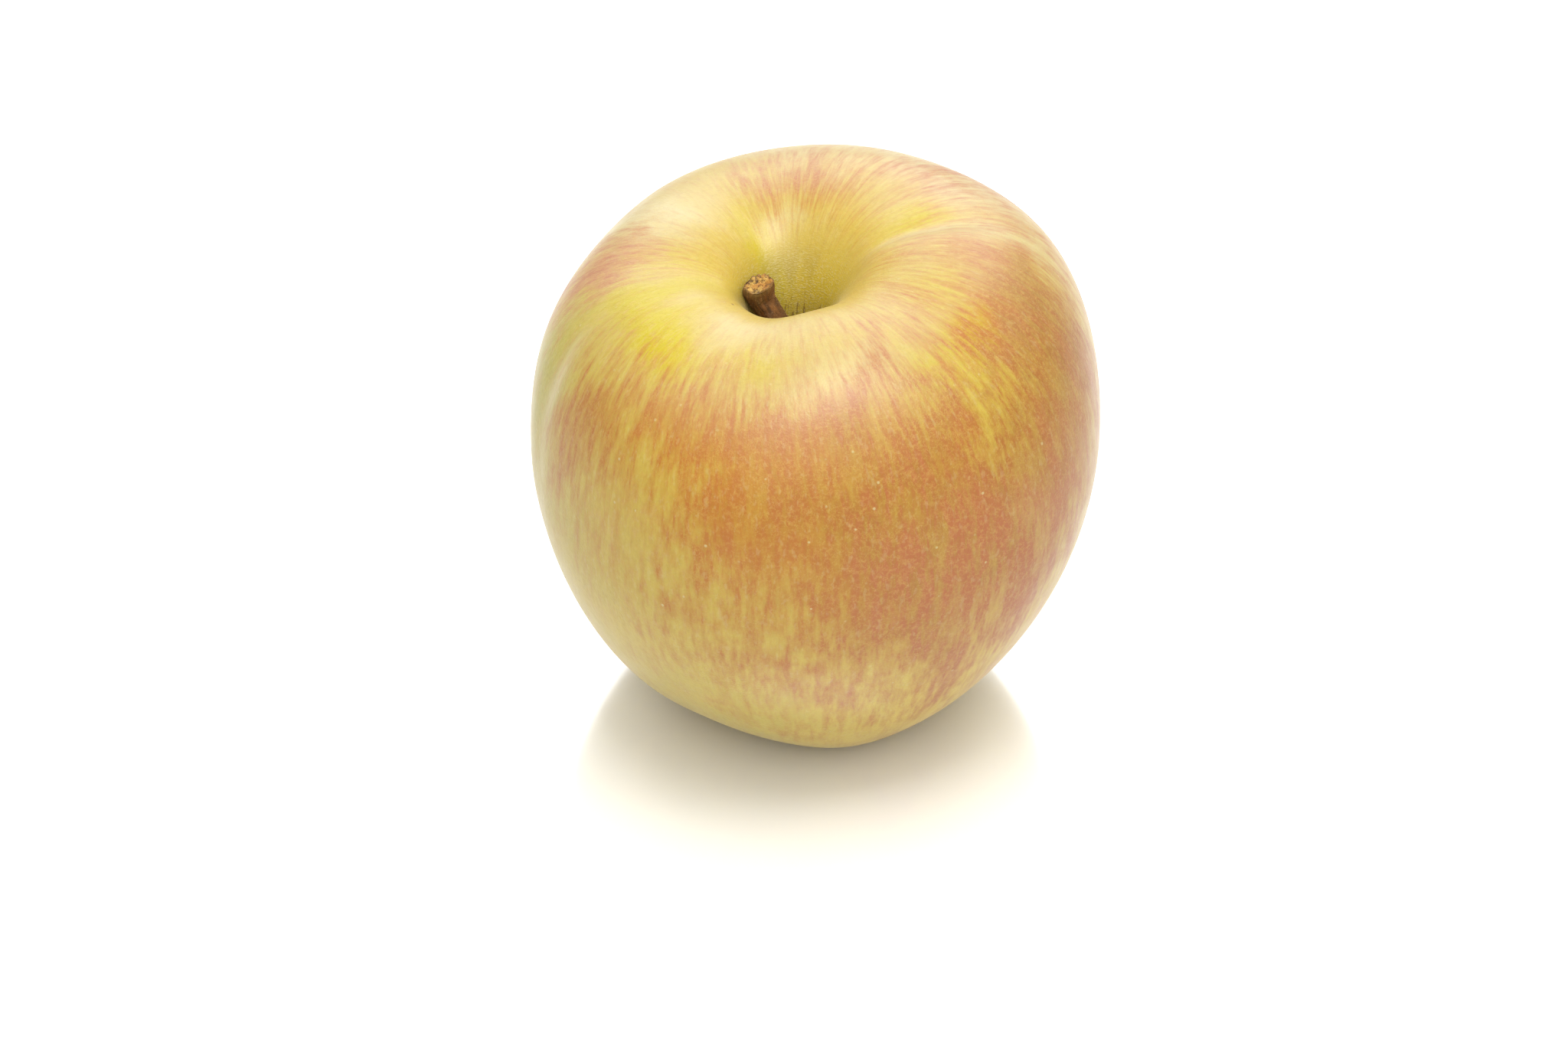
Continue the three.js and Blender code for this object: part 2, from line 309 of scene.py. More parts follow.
class StageSizes(bpy.types.PropertyGroup):
    """The floor, the light and the camera."""

    floor_size: length("Floor size", "Width of the pale floor", 8.0)
    surround: FloatProperty(name="Surround", description="Strength of the white room", default=0.68)
    overhead: FloatProperty(name="Overhead light", description="Power in watts", default=5.0)
    backdrop: FloatProperty(name="Backdrop light", description="Power in watts", default=12.0)
    fill: FloatProperty(name="Front light", description="Power in watts", default=10.0)
    camera_distance: length("Camera distance", "From the middle of the fruit", 0.7)
    camera_height: angle("Camera height", "Angle above the horizon", 36)
    lens: FloatProperty(name="Lens", description="Focal length", default=118.2, unit="CAMERA")
    middle_height: length("Middle height", "Height of the middle of the fruit", 35.5 * MM)
    look_below: length("Look below", "How far below the middle it looks", 9.1 * MM)
    look_left: length("Look left", "How far left of the middle it looks", 4.2 * MM)


GROUPS = {
    "apple_fruit": FruitSizes,
    "apple_skin": SkinColours,
    "apple_stem": StemSizes,
    "apple_calyx": CalyxSizes,
    "apple_stage": StageSizes,
}


# ---------------------------------------------------------------- shader graphs


class Wire:
    """A shader socket that takes part in sums: each sum adds its Math nodes to the finish."""

    def __init__(self, finish, socket):
        self.finish = finish
        self.socket = socket

    def maths(self, operation, *terms):
        values = dict(enumerate(terms))
        return self.finish.add("ShaderNodeMath", {"operation": operation}, values)

    def __add__(self, other):
        return self.maths("ADD", self, other)

    def __radd__(self, other):
        return self.maths("ADD", other, self)

    def __sub__(self, other):
        return self.maths("SUBTRACT", self, other)

    def __rsub__(self, other):
        return self.maths("SUBTRACT", other, self)

    def __mul__(self, other):
        return self.maths("MULTIPLY", self, other)

    def __rmul__(self, other):
        return self.maths("MULTIPLY", other, self)

    def clamped(self):
        return self.finish.add("ShaderNodeClamp", {}, {0: self})


class Finish:
    """A material's node tree, with one method that adds any node."""

    def __init__(self, name):
        self.material = bpy.data.materials.new(name)
        self.material.use_nodes = True
        self.tree = self.material.node_tree
        self.shader = self.tree.nodes["Principled BSDF"]

    def add(self, kind, settings, values, output=0):
        """Adds one node: its settings first, then the values or wires of its sockets."""
        node = self.tree.nodes.new(kind)
        for name, value in settings.items():
            setattr(node, name, value)
        self.fill(node, values)
        return Wire(self, node.outputs[output])

    def fill(self, node, values):
        for name, value in values.items():
            socket = node.inputs[name]
            if isinstance(value, Wire):
                self.tree.links.new(value.socket, socket)
            elif socket.type == "RGBA" and len(value) == 3:
                socket.default_value = (*value, 1.0)
            else:
                socket.default_value = value

    def ends_in(self, values):
        """Sets the sockets of the shader itself."""
        self.fill(self.shader, values)
        return self.material

    def place(self):
        return self.add("ShaderNodeTexCoord", {}, {}, output="Object")

    def stored(self, name, output="Fac"):
        return self.add("ShaderNodeAttribute", {"attribute_name": name}, {}, output=output)

    def stretched(self, vector, scale):
        """A vector multiplied part by part, to stretch a pattern."""
        values = {0: vector, 1: scale}
        return self.add("ShaderNodeVectorMath", {"operation": "MULTIPLY"}, values)

    def clouds(self, vector, scale, detail=3.0, roughness=0.55):
        """Fractal noise from 0 to 1, with most of it near a half."""
        values = {"Vector": vector, "Scale": scale, "Detail": detail, "Roughness": roughness}
        return self.add("ShaderNodeTexNoise", {}, values)

    def cells(self, vector, scale, output="Distance"):
        """Scattered cells: the distance from each cell's own point, or the cell's chance colour."""
        values = {"Vector": vector, "Scale": scale}
        return self.add("ShaderNodeTexVoronoi", {}, values, output=output)

    def ease(self, value, low, high, to_low=0.0, to_high=1.0):
        """Rises smoothly from to_low to to_high as value goes from low to high."""
        settings = {"interpolation_type": "SMOOTHSTEP"}
        values = {"Value": value, "From Min": low, "From Max": high}
        values.update({"To Min": to_low, "To Max": to_high})
        return self.add("ShaderNodeMapRange", settings, values)

    def mixed(self, factor, first, second):
        """Two colours mixed: all of the first at 0, all of the second at 1."""
        values = {0: factor, 6: first, 7: second}
        return self.add("ShaderNodeMix", {"data_type": "RGBA"}, values, output=2)

    def bumped(self, height, depth, strength, normal=None):
        values = {"Height": height, "Distance": depth, "Strength": strength}
        if normal is not None:
            values["Normal"] = normal
        return self.add("ShaderNodeBump", {}, values)

    def red_part(self, wire):
        return self.add("ShaderNodeSeparateColor", {}, {0: wire})


# ---------------------------------------------------------------- shapes


def smoothstep(value, low, high):
    part = np.clip((value - low) / (high - low), 0, 1)
    return part * part * (3 - 2 * part)


def bell(value, centre, reach):
    return np.exp(-(((value - centre) / reach) ** 2))


def degrees_between(azimuth, degrees):
    """The signed angle in degrees from one azimuth to another given in degrees."""
    return (np.degrees(azimuth) - degrees + 180) % 360 - 180


def bezier(points, along):
    """A cubic curve through its first and last point, at the given shares of its run."""
    first, second, third, last = (np.asarray(point, float) for point in points)
    part = np.asarray(along, float)[..., None]
    rest = 1 - part
    ends = rest**3 * first + part**3 * last
    return ends + 3 * rest**2 * part * second + 3 * rest * part**2 * third


def bezier_direction(points, along):
    first, second, third, last = (np.asarray(point, float) for point in points)
    part = np.asarray(along, float)[..., None]
    rest = 1 - part
    slope = rest**2 * (second - first) + 2 * rest * part * (third - second)
    slope = slope + part**2 * (last - third)
    return slope / np.linalg.norm(slope, axis=-1, keepdims=True)


def grain(points, scale, seed):
    """Fractal noise from about -1 to 1 at each point, the same on every run."""
    shift = Vector((seed * 7.31, seed * 3.17, seed * 5.93))
    smoothness, spacing, octaves = 1.0, 2.0, 3
    flat = np.asarray(points, float).reshape(-1, 3) * scale
    values = [noise.fractal(Vector(point) + shift, smoothness, spacing, octaves) for point in flat]
    return np.array(values).reshape(np.shape(points)[:-1])


def smooth_mesh(name, points, faces):
    mesh = bpy.data.meshes.new(name)
    mesh.from_pydata(points, [], faces)
    mesh.polygons.foreach_set("use_smooth", [True] * len(mesh.polygons))
    mesh.update()
    return mesh


def closed_mesh(name, rings):
    """A closed skin over rings of points, whose first and last ring each shrink to one point."""
    count, around = rings.shape[:2]
    first, last = rings[0].mean(0), rings[-1].mean(0)
    inner = rings[1:-1].reshape(-1, 3)
    points = np.concatenate([inner, [first, last]])
    start = len(inner)
    column = np.arange(around)
    beside = (column + 1) % around
    faces = []
    for row in range(count - 3):
        near, far = row * around, (row + 1) * around
        corners = (near + column, near + beside, far + beside, far + column)
        faces.extend(np.stack(corners, 1).tolist())
    end = (count - 3) * around
    faces.extend(np.stack([np.full(around, start), beside, column], 1).tolist())
    faces.extend(np.stack([np.full(around, start + 1), end + column, end + beside], 1).tolist())
    return smooth_mesh(name, points.tolist(), faces)


def store(mesh, name, values, kind="FLOAT"):
    """Keeps one value for each ring point on the mesh, in the order that closed_mesh gives them."""
    inner = values[1:-1].reshape(-1, *values.shape[2:])
    ends = np.stack([values[0].mean(0), values[-1].mean(0)])
    flat = np.concatenate([inner, ends]).astype(np.float32)
    field = "vector" if kind == "FLOAT_VECTOR" else "value"
    mesh.attributes.new(name, kind, "POINT").data.foreach_set(field, flat.ravel())


def show(mesh, material):
    piece = bpy.data.objects.new(mesh.name, mesh)
    bpy.context.scene.collection.objects.link(piece)
    mesh.materials.append(material)
    return piece


def settle(piece, slot, *nodes):
    """The piece rides on the fruit's body and stands for its nodes, which it hides; the slot is not
    used.
    """
    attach(piece, "root")
    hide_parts(*nodes)


def wrapped(turn, run):
    """A place round a body, without a seam: cosine and sine of the turn, and the run along it."""
    turn, run = np.broadcast_arrays(turn, run)
    return np.stack([np.cos(turn), np.sin(turn), run], -1)


def beside_spine(spine, along, offset_side, offset_front):
    """Points beside a curved spine, at two offsets across it."""
    centre = bezier(spine, along)
    run = bezier_direction(spine, along)
    side = np.cross(np.array([0.0, 1.0, 0.0]), run)
    side /= np.linalg.norm(side, axis=-1, keepdims=True)
    front = np.cross(run, side)
    return centre + side * offset_side[..., None] + front * offset_front[..., None]


# ---------------------------------------------------------------- the fruit


def quarter_arc(level, upright, fullness, steps):
    """Points from where the outline runs level to where it runs upright."""
    level_handle = (level[0] + (upright[0] - level[0]) * fullness.level, level[1])
    upright_handle = (upright[0], upright[1] + (level[1] - upright[1]) * fullness.upright)
    along = np.linspace(0, 1, steps + 1)
    return bezier((level, level_handle, upright_handle, upright), along)


def fruit_outline(sizes):
    """The round outline from the cavity floor to the calyx pit: radius, height and ring of a row."""
    throat = (sizes.throat_radius, sizes.throat_height)
    floor = (0.0, sizes.throat_height - sizes.throat_rounding)
    crest = (sizes.crest_radius, sizes.crest_height)
    equator = (sizes.equator_radius, sizes.equator_height)
    foot = (sizes.foot_ring_radius, 0.0)
    calyx = (sizes.calyx_radius, sizes.basin_depth)
    pit = (0.0, sizes.basin_depth + sizes.calyx_depth)
    arcs = (
        (quarter_arc(floor, throat, ROUNDED_FULLNESS, 8), CAVITY_FLOOR),
        (quarter_arc(crest, throat, CAVITY_FULLNESS, 50)[::-1], THROAT),
        (quarter_arc(crest, equator, SHOULDER_FULLNESS, 62), CREST),
        (quarter_arc(foot, equator, FLANK_FULLNESS, 62)[::-1], EQUATOR),
        (quarter_arc(foot, calyx, BASIN_FULLNESS, 40), FOOT_RING),
        (quarter_arc(pit, calyx, ROUNDED_FULLNESS, 10)[::-1], CALYX),
    )
    rows, rings = [], []
    for points, ring in arcs:
        rows.append(points[:-1])
        rings.append(ring + np.linspace(0, 1, len(points))[:-1])
    rows.append(np.array([pit]))
    rings.append(np.array([PIT]))
    outline = np.concatenate(rows)
    return outline[:, 0], outline[:, 1], np.concatenate(rings)


def grow_unevenly(sizes, radius, height, ring, azimuth):
    """Where the points of the round outline end up on the uneven fruit, about its own axis."""
    firm = max(sizes.throat_radius, sizes.calyx_radius)
    free = smoothstep(radius, firm, firm + sizes.firm_margin)
    lobe = np.cos(LOBES * (azimuth - sizes.lobe_turn))
    pressed = 0
    for fold in FOLDS:
        across = bell(degrees_between(azimuth, fold.azimuth), 0, fold.half_angle)
        pressed = pressed + fold.depth * across * bell(ring, fold.ring, fold.reach)
    pleats = np.cos(PLEATS * azimuth) * bell(ring, 3.7, 0.35) * sizes.pleat_depth
    widen = -sizes.oval_share * np.cos(2 * azimuth)
    widen = widen + sizes.three_sided_share * np.cos(3 * (azimuth - sizes.three_sided_turn))
    widen = widen - sizes.shoulder_pinch * lobe * bell(ring, 1.5, 0.7)
    lift = sizes.shoulder_swell * lobe * bell(ring, 1.1, 0.6)
    lift = lift + sizes.foot_swell * (1 - lobe) * bell(ring, FOOT_RING, 0.75)
    leaning = (radius / sizes.equator_radius) * (height / sizes.crest_height)
    lift = lift + sizes.tall_side_rise * leaning * np.cos(azimuth - sizes.tall_side_turn)
    below_crest = smoothstep(ring, CREST, EQUATOR)
    outward = pressed * below_crest
    spread = radius * (1 + free * widen) - free * outward
    raised = height + free * (lift - pressed + outward) + pleats
    sway = 1 - below_crest
    x = spread * np.cos(azimuth) + sizes.cavity_offset_x * sway
    y = spread * np.sin(azimuth) + sizes.cavity_offset_y * sway
    z = np.maximum(raised, sizes.foot_flat) - sizes.foot_flat
    return np.stack([x + AXIS.x, y + AXIS.y, z], -1)


def patched(patches, ring, azimuth, wobble):
    """How much of a colour there is at each point: its patches added, with wandering edges."""
    total = np.zeros(np.broadcast(ring, azimuth).shape)
    for patch in patches:
        turn = degrees_between(azimuth, patch.azimuth) / patch.half_angle + wobble[0]
        climb = (ring - patch.ring) / patch.reach + wobble[1]
        total += patch.strength * np.exp(-(turn**2) - climb**2)
    return np.clip(total, 0, 1)


def fruit_mesh(sizes):
    """The skin, which keeps its colours, ring and place around the fruit on every point.

    The place around is wrapped from the azimuth and the run down the outline in centimetres.
    """
    radius, height, ring = (values[:, None] for values in fruit_outline(sizes))
    azimuth = np.linspace(0, 2 * math.pi, sizes.segments, endpoint=False)[None, :]
    points = grow_unevenly(sizes, radius, height, ring, azimuth)
    step = np.hypot(np.diff(radius, axis=0), np.diff(height, axis=0))
    run = np.concatenate([[[0.0]], np.cumsum(step, axis=0)])
    mesh = closed_mesh("fruit_skin", points[::-1])
    everywhere = np.ones_like(points[..., 0])
    around = wrapped(azimuth, run * PER_CENTIMETRE)
    wobble = [PATCH_WOBBLE * grain(around * (4, 4, 1.2), 1.0, seed) for seed in (1, 2)]
    for name, patches in PATCHES.items():
        store(mesh, name, patched(patches, ring, azimuth, wobble)[::-1])
    store(mesh, "ring", (ring * everywhere)[::-1])
    store(mesh, "around", around[::-1], "FLOAT_VECTOR")
    return mesh


# The pale mark holds pale skin together with painted highlights and painted rim reflections.
Marks = namedtuple("Marks", "ring blush red rose brown yellow green pale")
Patterns = namedtuple("Patterns", "drifts streaks threads flecks mottle fine speckle")


def skin_patterns(finish, place, around):
    """The noises of the skin, coarse to fine: the first four are stretched down the fruit."""
    return Patterns(
        drifts=finish.clouds(finish.stretched(around, (9, 9, 0.8)), 1.0, 3.0, 0.5),
        streaks=finish.clouds(finish.stretched(around, (32, 32, 1.9)), 1.0, 5.0, 0.62),
        threads=finish.clouds(finish.stretched(around, (75, 75, 6.0)), 1.0, 3.0, 0.55),
        flecks=finish.clouds(finish.stretched(around, (60, 60, 8.0)), 1.0, 2.0, 0.5),
        mottle=finish.clouds(place, 320.0, 5.0, 0.62),
        fine=finish.clouds(place, 1500.0, 4.0, 0.66),
        speckle=finish.clouds(place, 3600.0, 2.0, 0.6),
    )


def skin_ground(finish, colours, marks, patterns):
    """The yellow ground, with its green, bright yellow and pale patches; the pale patches also paint
    highlights and rim reflections.
    """
    threaded = finish.ease(patterns.threads + patterns.mottle, 0.95, 1.35) * 0.3
    bright = (marks.yellow * (0.55 + patterns.mottle)).clamped()
    # Pale skin mixed with painted highlights and painted rim reflections.
    pale_skin_and_highlight = (marks.pale * (0.6 + patterns.streaks)).clamped()
    ground = finish.mixed(finish.ease(marks.ring, 1.9, 2.6), colours.ground, colours.low)
    ground = finish.mixed(marks.green, ground, colours.green)
    ground = finish.mixed(bright, ground, colours.yellow)
    ground = finish.mixed(threaded, ground, colours.pale)
    return finish.mixed(pale_skin_and_highlight, ground, colours.pale)


def skin_blush(finish, colours, marks, patterns, ground):
    """The ground under a blush whose edges break up into streaks, deepest where it is red."""
    waver = (patterns.drifts - 0.5) * 1.2 + (patterns.streaks - 0.5) * 2.8
    waver = waver + (patterns.mottle - 0.5) * 1.1 + (patterns.threads - 0.5) * 1.3
    waver = waver + (patterns.fine - 0.5) * 0.7
    unsure = marks.blush * (1 - marks.blush) * 1.9 + 0.46
    covered = (marks.blush * 0.95 + waver * unsure).clamped()
    deep = patterns.streaks * 0.6 + patterns.threads * 0.15 + patterns.drifts * 0.35
    deep = finish.ease(deep, 0.44, 0.72) * (marks.red * 1.4 + marks.blush * 0.6)
    deep = (deep * (0.5 + patterns.fine)).clamped()
    weathered = (marks.brown * (0.3 + patterns.mottle)).clamped()
    hue = finish.mixed(marks.rose, colours.orange, colours.rose)
    hue = finish.mixed(weathered, hue, colours.brown)
    hue = finish.mixed(deep, hue, colours.red)
    return finish.mixed(covered, ground, hue)


def skin_grain(finish, colours, marks, patterns, place, tint):
    """Fine light and dark grain, a net of light lines, and waxy bloom with a painted highlight over
    the shoulders.
    """
    tint = finish.mixed(finish.ease(patterns.fine, 0.48, 0.72) * 0.3, tint, colours.straw)
    tint = finish.mixed(finish.ease(patterns.fine, 0.5, 0.28) * 0.2, tint, colours.brown)
    tint = finish.mixed(finish.ease(patterns.threads, 0.5, 0.3) * 0.14, tint, colours.brown)
    tint = finish.mixed(finish.ease(patterns.flecks, 0.56, 0.72) * 0.18, tint, colours.pale)
    net = finish.clouds(place, 1000.0, 4.0, 0.62)
    lines = finish.ease(net, 0.53, 0.5) * finish.ease(net, 0.47, 0.5)
    lines = lines * finish.ease(patterns.mottle + marks.brown * 0.35, 0.42, 0.62)
    tint = finish.mixed(lines * 0.26, tint, colours.straw)
    tint = finish.mixed(finish.ease(patterns.speckle, 0.55, 0.75) * 0.12, tint, colours.pale)
    # Waxy bloom and painted highlight: the shoulder band is paled towards white in place of the
    # overhead light's gloss.
    shoulders = finish.ease(marks.ring, 0.7, 1.0) * finish.ease(marks.ring, 1.6, 1.15)
    return finish.mixed(shoulders * (1 - marks.yellow) * 0.14, tint, colours.bloom)


def skin_cavity(finish, colours, marks, patterns, inside, near_stem, ripples, around, tint):
    """Olive skin inside the stem cavity, with pale ripples, and dusk and cracks near the stem."""
    cracks = finish.clouds(finish.stretched(around, (17, 17, 5)), 1.0, 2.0, 0.5)
    cracked = finish.ease(cracks + near_stem * 0.05, 0.62, 0.68)
    cracked = finish.ease(marks.ring, 0.36, 0.26) * cracked
    tint = finish.mixed(inside * (0.75 + patterns.mottle * 0.3), tint, colours.olive)
    tint = finish.mixed(inside * marks.yellow, tint, colours.yellow)
    tint = finish.mixed(inside * marks.brown, tint, colours.dusk)
    tint = finish.mixed(inside * finish.ease(ripples, 0.5, 0.64) * 0.5, tint, colours.pale)
    # Darker grey-brown towards the stem, down at the floor of the cavity.
    tint = finish.mixed(near_stem * 0.35, tint, colours.dusk)
    return finish.mixed(cracked * 0.65, tint, colours.russet)


def scattered(finish, place, per_metre, outer, inner, rare, common):
    """Round soft-edged marks at chance places, shown where their chance passes rare to common."""
    nearness = finish.ease(finish.cells(place, per_metre), outer, inner)
    chance = finish.red_part(finish.cells(place, per_metre, "Color"))
    return nearness * finish.ease(chance, rare, common)


def skin_finish(colours):
    """Waxy skin: a yellow ground, a streaky blush, pale dots, dark specks, cavity russet, and
    painted highlights and rim reflections.
    """
    finish = Finish("apple_skin")
    place = finish.place()
    around = finish.stored("around", "Vector")
    marks = Marks(*(finish.stored(name) for name in Marks._fields))
    patterns = skin_patterns(finish, place, around)
    inside = finish.ease(marks.ring, 0.7, 0.35)
    near_stem = finish.ease(marks.ring, 0.42, 0.15)
    near_calyx = finish.ease(marks.ring + patterns.mottle * 0.5, 3.75, 4.4)
    ripples = finish.clouds(finish.stretched(around, (17, 17, 62)), 1.0, 2.0, 0.5)
    dotted = scattered(finish, place, 360.0, 0.095, 0.045, 0.3, 0.7)
    dotted = dotted * finish.ease(marks.ring, 0.9, 2.0, 0.3, 1.0) * (1 - inside)
    specked = scattered(finish, place, 100.0, 0.03, 0.015, 0.6, 0.62)

    tint = skin_ground(finish, colours, marks, patterns)
    tint = skin_blush(finish, colours, marks, patterns, tint)
    tint = skin_grain(finish, colours, marks, patterns, place, tint)
    tint = skin_cavity(finish, colours, marks, patterns, inside, near_stem, ripples, around, tint)
    tint = finish.mixed(near_calyx * 0.75, tint, colours.russet)
    tint = finish.mixed(dotted * 0.75, tint, colours.pale)
    tint = finish.mixed(specked * 0.8, tint, colours.russet)

    relief = patterns.speckle + patterns.mottle + patterns.fine
    relief = finish.bumped(relief, 0.08 * MM, 0.4)
    relief = finish.bumped(dotted - specked, 0.06 * MM, 0.6, relief)
    relief = finish.bumped(ripples * inside, 0.1 * MM, 0.7, relief)
    roughness = finish.ease(patterns.mottle, 0.3, 0.8, 0.37, 0.45)
    roughness = roughness + dotted * 0.12 + near_calyx * 0.25 + near_stem * 0.15
    return finish.ends_in({
        "Base Color": tint,
        "Roughness": roughness,
        "Normal": relief,
        "IOR": 1.42,
        "Coat Weight": 0.05,
        "Coat Roughness": 0.25,
        "Sheen Weight": 0.15,
        "Sheen Roughness": 0.25,
        "Sheen Tint": (1.0, 0.93, 0.92),
        "Subsurface Weight": 0.06,
        "Subsurface Radius": (1.0, 0.5, 0.2),
        "Subsurface Scale": 1.5 * MM,
    })


class APPLE_OT_grow_fruit(bpy.types.Operator):
    """Grow the fruit: its uneven skin with the stem cavity and the calyx basin"""

    bl_idname = "apple.grow_fruit"
    bl_label = "Grow Fruit"
    bl_options = {"REGISTER", "UNDO"}

    def execute(self, context):
        mesh = fruit_mesh(context.scene.apple_fruit)
        piece = show(mesh, skin_finish(context.scene.apple_skin))
        settle(piece, "skin", "fruit")
        return {"FINISHED"}


# ---------------------------------------------------------------- the stem


def stem_spine(sizes, fruit):
    """The stem's middle line: upright from its foot, leaning over, then upright again at its tip."""
    low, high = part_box("stem")
    foot = np.array([high.x - sizes.foot_radius, AXIS.y + fruit.cavity_offset_y, low.z])
    tip = foot + (sizes.lean_x, sizes.lean_y, sizes.reach)
    upright = foot + (0, 0, sizes.upright_share * sizes.reach)
    kink = tip - (sizes.kink, 0, sizes.kink_share * sizes.reach)
    return foot, upright, kink, tip


def stem_mesh(sizes, fruit):
    """A grooved shaft whose end is torn: a ragged rim of bark round a hollow of broken wood."""
    around, shaft_rows, end_rows = 96, 120, 16
    turn = np.linspace(0, 2 * math.pi, around, endpoint=False)[None, :]
    along = np.concatenate([[0.0], np.linspace(0, 1, shaft_rows), np.ones(end_rows)])[:, None]
    inward = np.concatenate([[0.0], np.ones(shaft_rows), np.linspace(0.97, 0, end_rows)])[:, None]
    foot_share = 1 - smoothstep(along, *FOOT_TAPER)
    tip_share = smoothstep(along, *TIP_FLARE)
    radius = sizes.shaft_radius + (sizes.foot_radius - sizes.shaft_radius) * foot_share
    radius = radius + (sizes.tip_radius - sizes.shaft_radius) * tip_share
    key = wrapped(turn, along * 4)
    grooves = grain(key * (2.2, 2.2, 0.5), 1.0, 3) * 0.1 * MM
    fibres = grain(key * (9, 9, 1.2), 1.0, 4) * 0.035 * MM
    lumps = grain(key * (1.4, 1.4, 1.4), 1.0, 5) * 0.12 * MM
    reach = (radius + grooves + fibres + lumps) * inward
    at_end = (along >= 1) & (np.arange(len(along))[:, None] > 1)
    spine = stem_spine(sizes, fruit)
    points = beside_spine(
        spine, along * np.ones_like(turn), reach * np.cos(turn), reach * np.sin(turn)
    )
    torn_key = points / MM
    ragged = grain(torn_key, 0.9, 6) * 0.45 + grain(torn_key, 2.4, 7) * 0.3
    rim = bell(inward, 0.9, 0.14) * 0.3
    torn = at_end * (ragged + rim - 0.3) * MM
    run = bezier_direction(spine, np.ones(1))[0]
    tilt = sizes.torn_tilt * reach * np.cos(turn) * smoothstep(along, 0.8, 1.0)
    mesh_points = points + (torn + tilt)[..., None] * run
    mesh = closed_mesh("stem_stalk", mesh_points)
    store(mesh, "along", along * np.ones_like(turn))
    store(mesh, "torn", (at_end * smoothstep(0.98 - inward, 0.0, 0.12)) * np.ones_like(turn))
    store(mesh, "around", key, "FLOAT_VECTOR")
    return mesh, spine


def stem_finish(colours):
    """Brown bark with long grooves, and pale torn fibres at the broken end."""
    finish = Finish("apple_stem")
    place = finish.place()
    around = finish.stored("around", "Vector")
    along, torn = finish.stored("along"), finish.stored("torn")
    grooves = finish.clouds(finish.stretched(around, (5, 5, 1.0)), 1.0, 5.0, 0.6)
    blotch = finish.clouds(place, 420.0, 3.0, 0.55)
    fuzz = finish.clouds(place, 5200.0, 2.0, 0.5)
    shaded = tuple(part * 0.35 for part in colours.bark)
    warm, olive = (0.24, 0.095, 0.012), (0.09, 0.06, 0.01)
    fuzzy, dry = (0.36, 0.2, 0.07), (0.24, 0.14, 0.035)
    bark = finish.mixed(finish.ease(grooves, 0.3, 0.7), shaded, colours.bark)
    bark = finish.mixed(finish.ease(blotch, 0.45, 0.75) * 0.7, bark, warm)
    bark = finish.mixed(finish.ease(blotch, 0.5, 0.25) * 0.5, bark, olive)
    bark = finish.mixed(finish.ease(fuzz, 0.55, 0.75) * 0.35, bark, fuzzy)
    bark = finish.mixed(finish.ease(along, 0.9, 1.0) * 0.4, bark, dry)
    fibres = finish.clouds(place, 1900.0, 4.0, 0.65)
    bits = finish.clouds(place, 900.0, 3.0, 0.6)
    hollow, amber, rotten = (0.07, 0.03, 0.006), (0.36, 0.14, 0.02), (0.08, 0.035, 0.008)
    wood = finish.mixed(finish.ease(fibres, 0.36, 0.56), hollow, colours.wood)
    wood = finish.mixed(finish.ease(blotch, 0.42, 0.62) * 0.7, wood, amber)
    wood = finish.mixed(finish.ease(bits, 0.53, 0.62) * 0.75, wood, rotten)
    tint = finish.mixed(torn, bark, wood)
    relief = finish.bumped(grooves + fuzz * 0.3, 0.2 * MM, 0.6)
    relief = finish.bumped(fibres * torn, 0.4 * MM, 0.8, relief)
    return finish.ends_in({
        "Base Color": tint,
        "Roughness": finish.ease(blotch, 0.3, 0.7, 0.6, 0.85),
        "Normal": relief,
    })


def thorn(start, tip, radius, sides=3, rows=4, bow=None):
    """One tapering thread from start to tip, bowed sideways, as rings for closed_mesh."""
    start, tip = np.asarray(start, float), np.asarray(tip, float)
    bow = np.zeros(3) if bow is None else np.asarray(bow, float)
    run = (tip - start) / np.linalg.norm(tip - start)
    oblique = (0.31, 0.95, 0.05)
    side = np.cross(run, oblique)
    side /= np.linalg.norm(side)
    front = np.cross(run, side)
    turn = np.linspace(0, 2 * math.pi, sides, endpoint=False)
    rings = [np.repeat(start[None], sides, 0)]
    for along in np.linspace(0, 1, rows):
        centre = start + (tip - start) * along + bow * 4 * along * (1 - along)
        wide = radius * (1 - 0.75 * along)
        offset = np.cos(turn)[:, None] * side + np.sin(turn)[:, None] * front
        rings.append(centre + wide * offset)
    rings.append(np.repeat(tip[None], sides, 0))
    return np.array(rings)


def joined(name, parts):
    """One mesh from many parts, each of them rings of points round a closed body."""
    meshes = [closed_mesh("part", rings) for rings in parts]
    points, faces, start = [], [], 0
    for mesh in meshes:
        points.extend(tuple(vertex.co) for vertex in mesh.vertices)
        faces.extend([index + start for index in face.vertices] for face in mesh.polygons)
        start += len(mesh.vertices)
        bpy.data.meshes.remove(mesh)
    return smooth_mesh(name, points, faces)


def stem_hairs(sizes, spine):
    """Fine pale hairs that stand on the shaft."""
    chance = np.random.default_rng(11)
    sunk = 0.1 * MM
    hairs = []
    for _ in range(sizes.hairs):
        along, turn = chance.uniform(0.3, 0.98), chance.uniform(0, 2 * math.pi)
        radius = sizes.shaft_radius * (1.0 + 0.12 * smoothstep(along, *TIP_FLARE))
        offsets = (np.array(radius * math.cos(turn)), np.array(radius * math.sin(turn)))
        root = beside_spine(spine, np.array(along), *offsets)
        outward = root - bezier(spine, np.array(along))
        outward /= np.linalg.norm(outward)
        lean = chance.normal(0, 0.5, 3)
        height = chance.uniform(0.07, 0.2) * MM
        tip = root + (outward + lean) * height
        hairs.append(thorn(root - outward * sunk, tip, sizes.hair_radius))
    return joined("stem_hairs", hairs)


